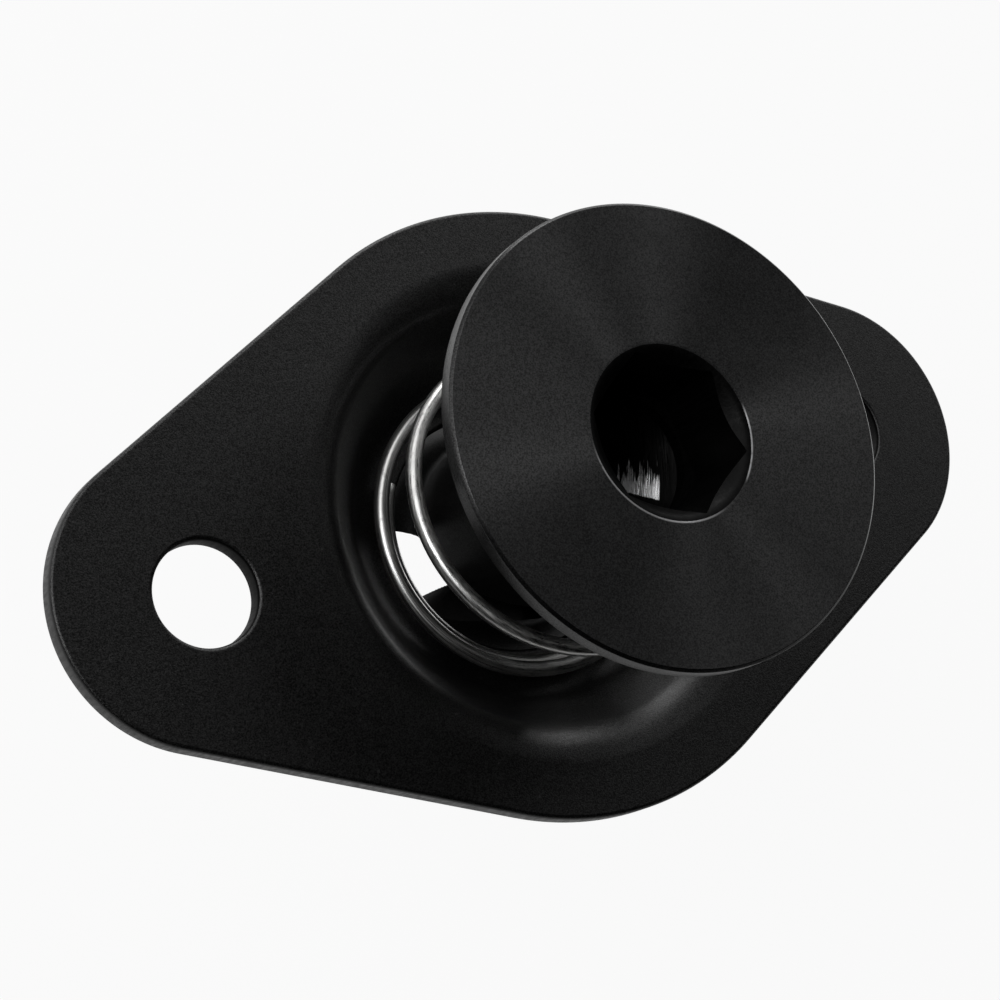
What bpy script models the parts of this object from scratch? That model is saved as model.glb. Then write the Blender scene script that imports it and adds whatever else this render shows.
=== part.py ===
"""Quarter turn panel fastener, ejected: a dished two-hole plate, a stud with a hex drive and
helical cam slots, and the spring that lifts the stud. The stud's two legs are flared under
the plate, which keeps it in the plate and leaves both slots open for the receptacle's wire.

Units are metres. Z is the stud's axis, up towards its head, and X runs through the two fixing
holes. The origin is on the stud's axis, level with the stud's open lower end.
"""
import math

import bmesh
import bpy

# Plate
PLATE_THICKNESS = 0.0012
HOLE_SPACING = 0.0430
FIXING_HOLE_RADIUS = 0.0029
EAR_RADIUS = 0.0084
MIDDLE_RADIUS = 0.01785
EDGE_BREAK = 0.0001
DISH_RADIUS = 0.0148
DISH_DEPTH = 0.0054
DISH_WALL_ANGLE = math.radians(54.0)
DISH_MOUTH_BEND = 0.0030
DISH_FLOOR_BEND = 0.0034
STUD_HOLE_RADIUS = 0.0071

# Stud
SHANK_RADIUS = 0.00555
HEAD_RADIUS = 0.0127
HEAD_THICKNESS = 0.0012
HEAD_EJECTED_HEIGHT = 0.0139
FACE_CHAMFER = 0.00035
BACK_CHAMFER = 0.0002
NECK_FILLET = 0.0012
BORE_RADIUS = 0.0036
BORE_DEPTH = 0.0105
FLARE_RADIUS = 0.00775
FLARE_ANGLE = math.radians(45.0)
FLARE_BEND_RADIUS = 0.0012
DRILL_POINT_ANGLE = math.radians(30.0)

# Hex drive
HEX_ACROSS_FLATS = 0.0079375
HEX_DEPTH = 0.0052
HEX_TURN = math.radians(35.0)
HEX_MOUTH_RADIUS = 0.0048
PILOT_RADIUS = 0.0038
PILOT_EXTRA_DEPTH = 0.0008

# Cam slots
CAM_SLOT_WIDTH = 0.0031
CAM_MOUTH_WIDTH = 0.0047
CAM_TURN = math.radians(90.0)
CAM_HELIX_ANGLE = math.radians(24.0)
CAM_ENTRY_HEIGHT = 0.0001
CAM_BEND_RADIUS = 0.0040
CAM_CREST_RADIUS = 0.0026
CAM_DETENT_ANGLE = math.radians(18.0)
CAM_ENTRY_DIRECTIONS = (math.radians(179.0), math.radians(-1.0))

# Ejector spring
WIRE_RADIUS = 0.00045
SPRING_SEAT_RADIUS = 0.00794
SPRING_SECOND_TURN_RADIUS = 0.00864
SPRING_TOP_RADIUS = 0.00970
SPRING_TURNS = 4.45
SPRING_CLOSED_TURNS = 1.15
SPRING_TOP_CLOSED_TURNS = 0.85
SPRING_BLEND_TURNS = 0.3
SPRING_BOTTOM_STEP = 0.0007
SPRING_TOP_STEP = 0.00087
SPRING_START_ANGLE = math.radians(149.0)

# Room left between pieces that touch
SEAT_GAP = 0.0003

# Facets
TURN_STEPS = 72
BEND_STEPS = 6
EAR_STEPS = 22
MIDDLE_STEPS = 12
HOLE_STEPS = 32
CAM_HELIX_STEPS = 12
SPRING_STEPS_PER_TURN = 36
OVERCUT = 0.001

# Levels along the stud's axis, worked out from the sizes above. The leg is as thick as the
# shank's wall, and its flare meets the lower edge of the stud's hole in the plate.
LEG_THICKNESS = SHANK_RADIUS - BORE_RADIUS
FLARE_EDGE_HEIGHT = LEG_THICKNESS * math.sin(FLARE_ANGLE)
FLARE_SEAT_HEIGHT = FLARE_EDGE_HEIGHT + (FLARE_RADIUS - STUD_HOLE_RADIUS) / math.tan(FLARE_ANGLE)
FLOOR_UNDERSIDE = FLARE_SEAT_HEIGHT + SEAT_GAP / math.sin(FLARE_ANGLE)
FLOOR_TOP = FLOOR_UNDERSIDE + PLATE_THICKNESS
FLANGE_TOP = FLOOR_TOP + DISH_DEPTH
FLANGE_BACK = FLANGE_TOP - PLATE_THICKNESS
HEAD_TOP = FLANGE_TOP + HEAD_EJECTED_HEIGHT
HEAD_BACK = HEAD_TOP - HEAD_THICKNESS


def clear_scene():
    for item in list(bpy.data.objects):
        bpy.data.objects.remove(item, do_unlink=True)


def make_material(name, colour, metallic, roughness):
    material = bpy.data.materials.new(name)
    material.use_nodes = True
    shader = material.node_tree.nodes["Principled BSDF"]
    shader.inputs["Base Color"].default_value = (*colour, 1.0)
    shader.inputs["Metallic"].default_value = metallic
    shader.inputs["Roughness"].default_value = roughness
    return material


def finish_object(name, bm, material, sharp_angle=math.radians(35.0)):
    """Turns a bmesh into a named object with smooth round faces."""
    bmesh.ops.remove_doubles(bm, verts=bm.verts, dist=1e-7)
    bmesh.ops.recalc_face_normals(bm, faces=bm.faces)
    mesh = bpy.data.meshes.new(name)
    bm.to_mesh(mesh)
    bm.free()
    if material is not None:
        mesh.materials.append(material)
    mesh.shade_smooth()
    mesh.set_sharp_from_angle(angle=sharp_angle)
    item = bpy.data.objects.new(name, mesh)
    bpy.context.collection.objects.link(item)
    return item


def make_cutter(name, bm, parent):
    """A tool body for a Boolean: kept as a wire guide beside the piece that it cuts."""
    item = finish_object(name, bm, None)
    item.hide_render = True
    item.display_type = "WIRE"
    item.parent = parent
    return item


def cut(item, cutter):
    modifier = item.modifiers.new(cutter.name, "BOOLEAN")
    modifier.operation = "DIFFERENCE"
    modifier.solver = "EXACT"
    modifier.object = cutter


def arc(centre, radius, start, end, steps):
    """Points on an arc, both ends included."""
    points = []
    for i in range(steps + 1):
        angle = start + (end - start) * i / steps
        points.append((centre[0] + radius * math.cos(angle), centre[1] + radius * math.sin(angle)))
    return points


def circle(centre, radius, steps):
    return arc(centre, radius, 0.0, 2.0 * math.pi, steps)[:-1]


def add_ring(bm, points, height):
    return [bm.verts.new((x, y, height)) for x, y in points]


def add_wall(bm, lower, upper, closed=True):
    """Quads between two rings of as many points."""
    count = len(lower)
    for i in range(count if closed else count - 1):
        j = (i + 1) % count
        bm.faces.new((lower[i], lower[j], upper[j], upper[i]))


def revolve(profile, closed):
    """Spins a profile of (radius, height) points about Z. Points on the axis are shared."""
    bm = bmesh.new()
    verts = [bm.verts.new((radius, 0.0, height)) for radius, height in profile]
    edges = [bm.edges.new(pair) for pair in zip(verts, verts[1:])]
    if closed:
        edges.append(bm.edges.new((verts[-1], verts[0])))
    bmesh.ops.spin(bm, geom=verts + edges, cent=(0, 0, 0), axis=(0, 0, 1),
                   angle=2.0 * math.pi, steps=TURN_STEPS, use_merge=True)
    bmesh.ops.remove_doubles(bm, verts=bm.verts, dist=1e-7)
    return bm


def prism(points, bottom, top):
    """A straight prism on a flat outline."""
    bm = bmesh.new()
    low = add_ring(bm, points, bottom)
    high = add_ring(bm, points, top)
    add_wall(bm, low, high)
    bm.faces.new(low)
    bm.faces.new(high)
    return bm


def plate_outline(inset):
    """Tangent outline round the middle circle and the two ears, moved in by the inset."""
    half_spacing = HOLE_SPACING / 2
    middle = MIDDLE_RADIUS - inset
    ear = EAR_RADIUS - inset
    tangent = math.acos((MIDDLE_RADIUS - EAR_RADIUS) / half_spacing)
    right = arc((half_spacing, 0.0), ear, -tangent, tangent, EAR_STEPS)
    back = arc((0.0, 0.0), middle, tangent, math.pi - tangent, MIDDLE_STEPS)
    left = arc((-half_spacing, 0.0), ear, math.pi - tangent, math.pi + tangent, EAR_STEPS)
    front = arc((0.0, 0.0), middle, math.pi + tangent, 2.0 * math.pi - tangent, MIDDLE_STEPS)
    return right + back + left + front


def dish_profile(offset):
    """Upper side of the dish from its mouth in to the stud's hole, or the same line lower
    by an offset square to the sheet."""
    turn = DISH_WALL_ANGLE
    mouth_centre = (DISH_RADIUS, FLANGE_TOP - DISH_MOUTH_BEND)
    bends_height = (DISH_MOUTH_BEND + DISH_FLOOR_BEND) * (1.0 - math.cos(turn))
    bends_width = (DISH_MOUTH_BEND + DISH_FLOOR_BEND) * math.sin(turn)
    wall_width = (DISH_DEPTH - bends_height) / math.tan(turn)
    floor_radius = DISH_RADIUS - bends_width - wall_width
    floor_centre = (floor_radius, FLOOR_TOP + DISH_FLOOR_BEND)
    upright = math.pi / 2
    mouth = arc(mouth_centre, DISH_MOUTH_BEND - offset, upright, upright + turn, BEND_STEPS)
    floor = arc(floor_centre, DISH_FLOOR_BEND + offset, turn - upright, -upright, BEND_STEPS)
    return mouth + floor + [(STUD_HOLE_RADIUS, FLOOR_TOP - offset)]


def add_dish(bm):
    """Spins the dished part of the sheet and returns its rings in the flange's two faces."""
    profile = dish_profile(0.0) + dish_profile(PLATE_THICKNESS)[::-1]
    rings = []
    for radius, height in profile:
        rings.append(add_ring(bm, circle((0.0, 0.0), radius, TURN_STEPS), height))
    for inner, outer in zip(rings, rings[1:]):
        add_wall(bm, inner, outer)
    return rings[0], rings[-1]


def add_broken_edge_wall(bm, outline_at):
    """A wall through the sheet with both of its corners broken, on an outline that widens
    the opening or narrows the sheet by the inset it is given."""
    levels = (
        (EDGE_BREAK, FLANGE_TOP),
        (0.0, FLANGE_TOP - EDGE_BREAK),
        (0.0, FLANGE_BACK + EDGE_BREAK),
        (EDGE_BREAK, FLANGE_BACK),
    )
    rings = [add_ring(bm, outline_at(inset), height) for inset, height in levels]
    for upper, lower in zip(rings, rings[1:]):
        add_wall(bm, lower, upper)
    return rings[0], rings[-1]


def loop_edges(bm, ring):
    return [bm.edges.get((ring[i - 1], ring[i])) for i in range(len(ring))]


def make_plate(material):
    """Pressed sheet plate: flat flange with two ears, a round dish and the stud's hole."""
    bm = bmesh.new()
    pairs = [add_dish(bm), add_broken_edge_wall(bm, plate_outline)]
    for side in (-1.0, 1.0):
        centre = (side * HOLE_SPACING / 2, 0.0)
        pairs.append(add_broken_edge_wall(
            bm, lambda inset: circle(centre, FIXING_HOLE_RADIUS + inset, HOLE_STEPS)))
    for face in (0, 1):
        edges = []
        for pair in pairs:
            edges += loop_edges(bm, pair[face])
        bmesh.ops.triangle_fill(bm, use_beauty=True, use_dissolve=False, edges=edges)
    return finish_object("mounting_plate", bm, material)


def flare_profile():
    """Section of a flared leg: down its outer side, across its end and up to the bore."""
    bend_width = FLARE_BEND_RADIUS * (1.0 - math.cos(FLARE_ANGLE))
    cone_height = (FLARE_RADIUS - SHANK_RADIUS - bend_width) / math.tan(FLARE_ANGLE)
    bend_height = FLARE_EDGE_HEIGHT + cone_height + FLARE_BEND_RADIUS * math.sin(FLARE_ANGLE)
    centre = (SHANK_RADIUS + FLARE_BEND_RADIUS, bend_height)
    outer = arc(centre, FLARE_BEND_RADIUS, math.pi, math.pi + FLARE_ANGLE, BEND_STEPS)
    inner_radius = FLARE_BEND_RADIUS + LEG_THICKNESS
    inner = arc(centre, inner_radius, math.pi + FLARE_ANGLE, math.pi, BEND_STEPS)
    end_inner = (FLARE_RADIUS - LEG_THICKNESS * math.cos(FLARE_ANGLE), 0.0)
    return outer + [(FLARE_RADIUS, FLARE_EDGE_HEIGHT), end_inner] + inner


def stud_profile():
    """Turned outline of the stud from the hex mouth out, down the shank and up the bore."""
    mouth_depth = HEX_MOUTH_RADIUS - PILOT_RADIUS
    fillet_centre = (SHANK_RADIUS + NECK_FILLET, HEAD_BACK - NECK_FILLET)
    head = [
        (0.0, HEAD_TOP - mouth_depth),
        (PILOT_RADIUS, HEAD_TOP - mouth_depth),
        (HEX_MOUTH_RADIUS, HEAD_TOP),
        (HEAD_RADIUS - FACE_CHAMFER, HEAD_TOP),
        (HEAD_RADIUS, HEAD_TOP - FACE_CHAMFER),
        (HEAD_RADIUS, HEAD_BACK + BACK_CHAMFER),
        (HEAD_RADIUS - BACK_CHAMFER, HEAD_BACK),
    ]
    neck = arc(fillet_centre, NECK_FILLET, math.pi / 2, math.pi, BEND_STEPS)
    bore = [
        (BORE_RADIUS, BORE_DEPTH),
        (0.0, BORE_DEPTH + BORE_RADIUS * math.tan(DRILL_POINT_ANGLE)),
    ]
    return head + neck + flare_profile() + bore


def hex_points():
    corner = HEX_ACROSS_FLATS / math.sqrt(3.0)
    return arc((0.0, 0.0), corner, HEX_TURN, HEX_TURN + 2.0 * math.pi, 6)[:-1]


def pilot_profile():
    """Drilled hole under the hex, with its drill point."""
    bottom = HEAD_TOP - HEX_DEPTH - PILOT_EXTRA_DEPTH
    return [
        (0.0, HEAD_TOP - HEX_DEPTH / 2),
        (PILOT_RADIUS, HEAD_TOP - HEX_DEPTH / 2),
        (PILOT_RADIUS, bottom),
        (0.0, bottom - PILOT_RADIUS * math.tan(DRILL_POINT_ANGLE)),
    ]


def walk(stations, length, turn, width, steps):
    """Goes on along an unrolled path by a length, turning and changing its width evenly."""
    along, height, heading, start_width = stations[-1]
    for i in range(1, steps + 1):
        heading += turn / steps / 2
        along += length / steps * math.cos(heading)
        height += length / steps * math.sin(heading)
        heading += turn / steps / 2
        stations.append((along, height, heading, start_width + (width - start_width) * i / steps))


def cam_stations():
    """Middle line of a cam slot unrolled on the shank: (arc length, height, heading, width).

    The slot enters straight from the stud's end, bends over on to the helix, climbs round
    the shank, passes a crest and ends in a rounded seat that holds the receptacle's wire.
    """
    bend_turn = math.pi / 2 - CAM_HELIX_ANGLE
    crest_turn = CAM_HELIX_ANGLE + CAM_DETENT_ANGLE
    bend_along = CAM_BEND_RADIUS * (1.0 - math.sin(CAM_HELIX_ANGLE))
    crest_along = CAM_CREST_RADIUS * (math.sin(CAM_HELIX_ANGLE) + math.sin(CAM_DETENT_ANGLE))
    helix_along = SHANK_RADIUS * CAM_TURN - bend_along - crest_along
    helix_length = helix_along / math.cos(CAM_HELIX_ANGLE)
    stations = [(0.0, -OVERCUT, math.pi / 2, CAM_MOUTH_WIDTH)]
    walk(stations, OVERCUT + CAM_ENTRY_HEIGHT, 0.0, CAM_MOUTH_WIDTH, 1)
    walk(stations, CAM_BEND_RADIUS * bend_turn, -bend_turn, CAM_SLOT_WIDTH, BEND_STEPS)
    walk(stations, helix_length, 0.0, CAM_SLOT_WIDTH, CAM_HELIX_STEPS)
    walk(stations, CAM_CREST_RADIUS * crest_turn, -crest_turn, CAM_SLOT_WIDTH, BEND_STEPS)
    end_along, end_height, end_heading, end_width = stations[-1]
    for i in range(1, BEND_STEPS + 1):
        angle = (i - 0.4) / BEND_STEPS * math.pi / 2
        reach = end_width / 2 * math.sin(angle)
        along = end_along + reach * math.cos(end_heading)
        height = end_height + reach * math.sin(end_heading)
        stations.append((along, height, end_heading, end_width * math.cos(angle)))
    return stations


def cam_cutter(direction):
    """A ribbon wrapped on the shank along a cam slot, from inside the bore to outside.

    Its flanks are parallel where the slot enters and radial where it runs on the helix.
    """
    inner_radius = 0.9 * BORE_RADIUS
    outer_radius = FLARE_RADIUS + OVERCUT
    corners = ((inner_radius, 1), (inner_radius, -1), (outer_radius, -1), (outer_radius, 1))
    bm = bmesh.new()
    sections = []
    for along, height, heading, width in cam_stations():
        steepness = (heading - CAM_HELIX_ANGLE) / (math.pi / 2 - CAM_HELIX_ANGLE)
        parallel_share = min(max(steepness, 0.0), 1.0)
        section = []
        for radius, side in corners:
            sideways = -side * width / 2 * math.sin(heading)
            upwards = side * width / 2 * math.cos(heading)
            radial = sideways / SHANK_RADIUS
            parallel = math.asin(sideways / radius)
            angle = direction + along / SHANK_RADIUS
            angle += radial + (parallel - radial) * parallel_share
            point = (radius * math.cos(angle), radius * math.sin(angle), height + upwards)
            section.append(bm.verts.new(point))
        sections.append(section)
    for before, after in zip(sections, sections[1:]):
        add_wall(bm, before, after)
    bm.faces.new(sections[0])
    bm.faces.new(sections[-1])
    return bm


def make_stud(material):
    """Turned stud: flat round head with a hex socket, and a hollow shank whose two cam
    slots part its lower end into the two flared legs."""
    stud = finish_object("quarter_turn_stud", revolve(stud_profile(), closed=False), material)
    cutters = [
        ("hex_socket_tool", prism(hex_points(), HEAD_TOP - HEX_DEPTH, HEAD_TOP + OVERCUT)),
        ("hex_pilot_tool", revolve(pilot_profile(), closed=False)),
    ]
    for number, direction in enumerate(CAM_ENTRY_DIRECTIONS, start=1):
        cutters.append((f"cam_slot_tool_{number}", cam_cutter(direction)))
    for name, bm in cutters:
        cut(stud, make_cutter(name, bm, stud))
    return stud


def smooth(value):
    value = min(max(value, 0.0), 1.0)
    return value * value * (3.0 - 2.0 * value)


def spring_opening(turn):
    """0 in the closed end turns, 1 where the turns stand apart."""
    from_bottom = smooth((turn - SPRING_CLOSED_TURNS) / SPRING_BLEND_TURNS)
    from_top = smooth((SPRING_TURNS - SPRING_TOP_CLOSED_TURNS - turn) / SPRING_BLEND_TURNS)
    return from_bottom * from_top


def closed_step(turn):
    """Rise for each turn where the wire lies beside the turn before."""
    share = turn / SPRING_TURNS
    return SPRING_BOTTOM_STEP + (SPRING_TOP_STEP - SPRING_BOTTOM_STEP) * share


def spring_radius(turn):
    """Middle line's radius: small at the seat, wider at each turn up to the head."""
    if turn < SPRING_CLOSED_TURNS:
        share = turn / SPRING_CLOSED_TURNS
        return SPRING_SEAT_RADIUS + (SPRING_SECOND_TURN_RADIUS - SPRING_SEAT_RADIUS) * share
    share = (turn - SPRING_CLOSED_TURNS) / (SPRING_TURNS - SPRING_CLOSED_TURNS)
    return SPRING_SECOND_TURN_RADIUS + (SPRING_TOP_RADIUS - SPRING_SECOND_TURN_RADIUS) * share


def spring_points():
    """Middle line of the wire, with the open turns' pitch set by the height to fill."""
    bottom = FLOOR_TOP + SEAT_GAP + WIRE_RADIUS
    top = HEAD_BACK - SEAT_GAP - WIRE_RADIUS
    count = round(SPRING_TURNS * SPRING_STEPS_PER_TURN)
    step = SPRING_TURNS / count
    middles = [(i + 0.5) * step for i in range(count)]
    closed_rise = sum(closed_step(turn) * step for turn in middles)
    opening = sum(spring_opening(turn) * step for turn in middles)
    extra_pitch = (top - bottom - closed_rise) / opening
    points = []
    height = bottom
    for i in range(count + 1):
        turn = i * step
        angle = SPRING_START_ANGLE + 2.0 * math.pi * turn
        radius = spring_radius(turn)
        points.append((radius * math.cos(angle), radius * math.sin(angle), height))
        if i < count:
            height += (closed_step(middles[i]) + extra_pitch * spring_opening(middles[i])) * step
    return points


def make_spring(material):
    """Conical ejector spring of round wire, right-hand wound, closed at both ends."""
    curve = bpy.data.curves.new("ejector_spring", "CURVE")
    curve.dimensions = "3D"
    curve.bevel_depth = WIRE_RADIUS
    curve.bevel_resolution = 3
    curve.resolution_u = 1
    curve.render_resolution_u = 0
    curve.use_fill_caps = True
    points = spring_points()
    spline = curve.splines.new("POLY")
    spline.points.add(len(points) - 1)
    for target, point in zip(spline.points, points):
        target.co = (*point, 1.0)
    curve.materials.append(material)
    spring = bpy.data.objects.new("ejector_spring", curve)
    bpy.context.collection.objects.link(spring)
    return spring


def main():
    clear_scene()
    plate_black = make_material("plate_black", (0.012, 0.012, 0.013), 0.5, 0.36)
    stud_black = make_material("stud_black", (0.022, 0.022, 0.023), 0.6, 0.34)
    bright_steel = make_material("bright_steel", (0.70, 0.70, 0.68), 1.0, 0.18)
    make_plate(plate_black)
    make_spring(bright_steel)
    make_stud(stud_black)


main()
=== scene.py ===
"""Looks of the quarter turn panel fastener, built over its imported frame. Lengths are metres."""

import math

import bmesh
import bpy
from mathutils import Matrix, Vector


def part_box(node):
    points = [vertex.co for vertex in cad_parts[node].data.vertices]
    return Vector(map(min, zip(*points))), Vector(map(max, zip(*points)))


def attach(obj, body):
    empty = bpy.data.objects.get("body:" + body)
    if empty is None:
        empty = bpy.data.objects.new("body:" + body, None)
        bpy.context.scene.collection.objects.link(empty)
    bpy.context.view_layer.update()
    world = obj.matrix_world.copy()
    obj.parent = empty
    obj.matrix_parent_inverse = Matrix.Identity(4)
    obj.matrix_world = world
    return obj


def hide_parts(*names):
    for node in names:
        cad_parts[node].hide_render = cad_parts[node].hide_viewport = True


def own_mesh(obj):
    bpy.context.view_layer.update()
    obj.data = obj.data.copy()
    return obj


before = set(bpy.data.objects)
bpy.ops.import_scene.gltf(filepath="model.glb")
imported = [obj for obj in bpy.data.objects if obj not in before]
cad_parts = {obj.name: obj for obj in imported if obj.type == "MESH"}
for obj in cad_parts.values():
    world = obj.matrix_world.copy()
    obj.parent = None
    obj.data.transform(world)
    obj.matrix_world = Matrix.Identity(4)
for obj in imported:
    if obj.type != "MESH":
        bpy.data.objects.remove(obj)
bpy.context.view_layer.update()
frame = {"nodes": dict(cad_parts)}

# Levels on the stud's axis, read from the frame
PLATE_LOW, PLATE_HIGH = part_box("mounting_plate")
STUD_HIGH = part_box("quarter_turn_stud")[1]
FLANGE_TOP = PLATE_HIGH.z
FLOOR_UNDERSIDE = PLATE_LOW.z
HEAD_TOP = STUD_HIGH.z

# Plate
PLATE_THICKNESS = 0.0012
HOLE_SPACING = 0.0430
FIXING_HOLE_RADIUS = 0.0029
EAR_RADIUS = 0.0084
MIDDLE_RADIUS = 0.01785
DISH_RADIUS = 0.0148
DISH_WALL_ANGLE = math.radians(54.0)
DISH_MOUTH_BEND = 0.0030
DISH_FLOOR_BEND = 0.0034
STUD_HOLE_RADIUS = 0.0071
DIE_ROLL = 0.00026
BREAK_OUT = 0.00006
FLANGE_BACK = FLANGE_TOP - PLATE_THICKNESS
FLOOR_TOP = FLOOR_UNDERSIDE + PLATE_THICKNESS
DISH_DEPTH = FLANGE_TOP - FLOOR_TOP

# Stud
SHANK_RADIUS = 0.00555
HEAD_RADIUS = 0.0127
HEAD_THICKNESS = 0.0012
HEAD_BACK = HEAD_TOP - HEAD_THICKNESS
FACE_CHAMFER = 0.00016
BACK_CHAMFER = 0.00018
EDGE_ROUND = 0.00006
MOUTH_ROUND = 0.00090
NECK_FILLET = 0.0012
BORE_RADIUS = 0.0036
BORE_DEPTH = 0.0105
FLARE_RADIUS = 0.00775
FLARE_ANGLE = math.radians(45.0)
FLARE_BEND_RADIUS = 0.0012
LEG_THICKNESS = SHANK_RADIUS - BORE_RADIUS
FLARE_EDGE_HEIGHT = LEG_THICKNESS * math.sin(FLARE_ANGLE)
DRILL_POINT_ANGLE = math.radians(30.0)

# Hex drive
HEX_ACROSS_FLATS = 0.0079375
HEX_DEPTH = 0.0052
HEX_TURN = math.radians(35.0)
HEX_MOUTH_RADIUS = 0.0048
WORN_MOUTH_RADIUS = 0.0046
PILOT_RADIUS = 0.0038
PILOT_EXTRA_DEPTH = 0.0008

# Cam slots
CAM_SLOT_WIDTH = 0.0031
CAM_MOUTH_WIDTH = 0.0047
CAM_TURN = math.radians(90.0)
CAM_HELIX_ANGLE = math.radians(24.0)
CAM_ENTRY_HEIGHT = 0.0001
CAM_BEND_RADIUS = 0.0040
CAM_CREST_RADIUS = 0.0026
CAM_CUTTER_INSIDE = 0.9
CAM_DETENT_ANGLE = math.radians(18.0)
CAM_ENTRY_DIRECTIONS = (math.radians(179.0), math.radians(-1.0))
OVERCUT = 0.001

# Ejector spring
WIRE_RADIUS = 0.00045
WIRE_END_CHAMFER = 0.00006
SEAT_GAP = 0.0003
SPRING_SEAT_RADIUS = 0.00794
SPRING_SECOND_TURN_RADIUS = 0.00864
SPRING_TOP_RADIUS = 0.00970
SPRING_TURNS = 4.45
SPRING_CLOSED_TURNS = 1.15
SPRING_TOP_CLOSED_TURNS = 0.85
SPRING_BLEND_TURNS = 0.3
SPRING_BOTTOM_STEP = 0.0007
SPRING_TOP_STEP = 0.00087
SPRING_START_ANGLE = math.radians(149.0)

# Facets
TURN_STEPS = 240
BEND_STEPS = 20
EAR_STEPS = 72
MIDDLE_STEPS = 36
HOLE_STEPS = 96
FILLET_STEPS = 4
CAM_ENTRY_STEPS = 4
CAM_HELIX_STEPS = 40
CAM_BEND_STEPS = 18
CAM_END_SHIFT = 0.4
SPRING_STEPS_PER_TURN = 110
WIRE_SIDES = 24
SPIN_MERGE_DISTANCE = 1e-7
MERGE_DISTANCE = 1e-8

# Shading of the facets: angles that stay sharp, and cosines for level and nearly level faces
SHARP_ANGLE = math.radians(40.0)
STUD_SHARP_ANGLE = math.radians(30.0)
WIRE_SHARP_ANGLE = math.radians(50.0)
LARGE_FACE_WEIGHT = 80
LEVEL_COSINE = 0.9999
SMOOTH_JOIN_COSINE = 0.85

# Camera, solved from the photograph
CAMERA_PLACE = Vector((-0.07116, -0.01738, 0.11518 + FLANGE_TOP))
CAMERA_RIGHT = Vector((0.8366, -0.3194, 0.4451))
CAMERA_UP = Vector((0.2118, 0.9379, 0.2749))
CAMERA_LENS = 86.85
CAMERA_SENSOR = 36.0
CAMERA_CLIP_START = 0.005
CAMERA_CLIP_END = 20.0

# Floor, below the stud's end when it is pressed. In reflections a flag dims it towards a side,
# given in X and Y shares, between two distances from the stud's axis in millimetres.
FLOOR_HEIGHT = -0.040
FLOOR_SIZE = 6.0
FLOOR_COLOUR = (0.90, 0.90, 0.90, 1.0)
FLOOR_GLOW = 0.93
FLAG_SIDE = (-0.34, -0.94)
FLAG_REACH = (-34.0, -16.0)
FLAG_SHADE = 0.24

# Soft lights of the studio: azimuth, elevation and radius in degrees, then radiance
STUDIO_LEVEL = 0.04
STUDIO_PATCH_MIDDLE = 1.5
STUDIO_SOFT_LIGHTS = (
    (15.0, 40.0, 14.0, 11.5),
    (30.0, 55.0, 14.0, 9.0),
    (45.0, 40.0, 14.0, 8.0),
    (15.0, 25.0, 14.0, 10.0),
    (-40.0, 16.0, 26.0, 0.5),
)

# Softboxes: azimuth and elevation in degrees, distance, width, height, then radiance
SOFTBOXES = (
    ("back_softbox_near", 43.0, 13.0, 0.45, 0.10, 0.25, 2.6),
    ("back_softbox_far", 74.0, 16.0, 0.45, 0.13, 0.25, 3.7),
    ("back_left_softbox", 122.0, 40.0, 0.60, 0.62, 0.50, 1.15),
    ("left_softbox", 165.0, 48.0, 0.50, 0.13, 0.28, 4.0),
)

# Finishes. Scales are per millimetre, pairs of colours run from dark to pale.
MILLIMETRES = 1000.0
FINE_GRAIN = 12.0
CUT_GRAIN = 6.0
SHEET_COAT = ((0.0004, 0.0004, 0.0004), (0.0030, 0.0030, 0.0031))
SHEET_COAT_IOR = 1.6
SPECK = (0.05, 0.05, 0.05)
EDGE_COAT = ((0.004, 0.004, 0.004), (0.012, 0.012, 0.012))
EDGE_LAND = (0.020, 0.020, 0.020)
EDGE_LAND_LOW = FLANGE_TOP - 0.75 * PLATE_THICKNESS
EDGE_LAND_HIGH = FLANGE_TOP - 0.45 * PLATE_THICKNESS
TURNED_COAT = ((0.0010, 0.0010, 0.0011), (0.0070, 0.0071, 0.0074))
ANODISED_IOR = 1.7
TURNED_HEIGHT_SHARE = 1.37
TOOL_FEED = 0.16
# Bright metal on two sides of the socket's lip: key wear and a painted highlight.
WORN_METAL_AND_GLINT = (0.70, 0.70, 0.71)
WORN_AND_GLINT_LIP_RADIUS = WORN_MOUTH_RADIUS + 0.00008
GLINT_LONG_SIDE = (-0.605, -0.791)
GLINT_SHORT_SIDE = (0.94, -0.34)
# Coat of the socket, bore, slots and holes: darker than the outer faces, painted shade in recesses
SHADED_CUT_COAT = ((0.0008, 0.0008, 0.0008), (0.0026, 0.0026, 0.0027))
CUT_COAT_IOR = 1.35
# Socket bottom: its dark coat is painted shade, its bright metal streaks a painted highlight
SHADED_SOCKET_BOTTOM_COAT = ((0.0006, 0.0006, 0.0006), (0.0020, 0.0020, 0.0020))
GLINT_METAL = (0.95, 0.95, 0.96)
GLINT_ACROSS = (0.932, -0.363)
GLINT_ALONG = (0.363, 0.932)
WIRE_STEEL = ((0.62, 0.62, 0.61), (0.96, 0.96, 0.94))
WIRE_SPOT = (0.22, 0.22, 0.215)

# Places of the finishes on the stud and on the plate, and what tells their faces apart
TURNED, CUT, GLINT_BOTTOM, SHANK, RIM = range(5)
SHEET, OUTER_EDGE, HOLE_WALL = range(3)
FACE_MARGIN = 0.0001
DRILLED_BOTTOM = HEAD_TOP - HEX_DEPTH - PILOT_EXTRA_DEPTH + 0.00001
RIM_COSINE = 0.98
WALL_COSINE = 0.8


def arc(centre, radius, start, end, steps):
    """Points on an arc, both ends included."""
    points = []
    for i in range(steps + 1):
        angle = start + (end - start) * i / steps
        points.append((centre[0] + radius * math.cos(angle), centre[1] + radius * math.sin(angle)))
    return points


def circle(centre, radius, steps):
    return arc(centre, radius, 0.0, 2.0 * math.pi, steps)[:-1]


def add_ring(bm, points, height):
    return [bm.verts.new((x, y, height)) for x, y in points]


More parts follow.
